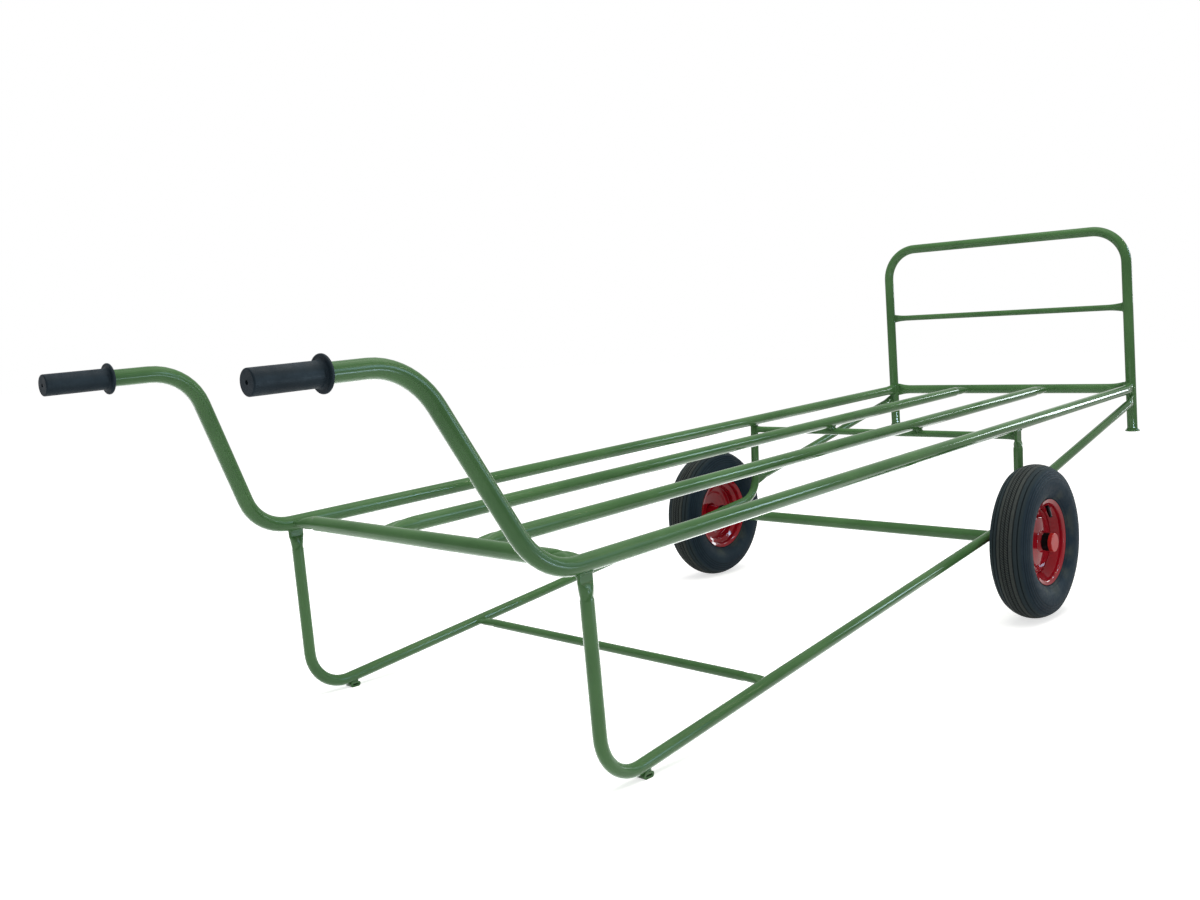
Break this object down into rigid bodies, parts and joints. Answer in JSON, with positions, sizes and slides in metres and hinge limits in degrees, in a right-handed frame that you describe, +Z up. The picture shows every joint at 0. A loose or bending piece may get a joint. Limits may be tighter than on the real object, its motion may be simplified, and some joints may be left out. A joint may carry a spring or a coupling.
{
  "type": "garden cart",
  "caption": "Flat-bed garden cart of welded green tube with raised handles, a headboard hoop, bent leg frames and pneumatic wheels that spin on a through axle.",
  "frame": {"origin": "on the ground under the middle of the cart's bounding box", "axes": "+X forward from the handles to the headboard, +Y to the left, +Z up"},
  "size_m": [3.1878, 1.1564, 1.0937],
  "materials": {
    "frame_green": "gloss green paint",
    "wheel_red": "gloss red paint",
    "cap_red": "glossy",
    "tyre": "matt",
    "grip": "satin",
    "bush": "matt black",
    "steel": "bare",
    "valve": "matt black"
  },
  "bodies": {
    "frame": {"axle_shaft": "steel", "axle_tube": "frame_green", "bearer_spacers": "frame_green", "bearer_tube": "frame_green", "front_cross_tube": "frame_green", "headboard_bar": "frame_green", "headboard_hoop": "frame_green", "left_axle_cap": "cap_red", "left_axle_washer": "steel", "left_brace": "frame_green", "left_grip": "grip", "left_leg_foot": "frame_green", "left_leg_frame": "frame_green", "left_lock_washer": "steel", "left_middle_rail": "frame_green", "left_post_foot": "frame_green", "left_side_rail": "frame_green", "leg_tie_bar": "frame_green", "rear_cross_tube": "frame_green", "right_axle_cap": "cap_red", "right_axle_washer": "steel", "right_brace": "frame_green", "right_grip": "grip", "right_leg_foot": "frame_green", "right_leg_frame": "frame_green", "right_lock_washer": "steel", "right_middle_rail": "frame_green", "right_post_foot": "frame_green", "right_side_rail": "frame_green"},
    "left_wheel": {"left_hub": "wheel_red", "left_inner_bush": "bush", "left_outer_bush": "bush", "left_rim": "wheel_red", "left_tyre": "tyre", "left_valve_cap": "valve", "left_valve_stem": "valve", "left_wheel_disc": "wheel_red"},
    "right_wheel": {"right_hub": "wheel_red", "right_inner_bush": "bush", "right_outer_bush": "bush", "right_rim": "wheel_red", "right_tyre": "tyre", "right_valve_cap": "valve", "right_valve_stem": "valve", "right_wheel_disc": "wheel_red"}
  },
  "joints": [
    {"name": "left_wheel_spin", "type": "hinge", "parent": "frame", "child": "left_wheel", "pos_m": [0.53503, 0.527, 0.2], "axis": [0, 1, 0], "continuous": true},
    {"name": "right_wheel_spin", "type": "hinge", "parent": "frame", "child": "right_wheel", "pos_m": [0.53503, -0.527, 0.2], "axis": [0, 1, 0], "continuous": true}
  ]
}
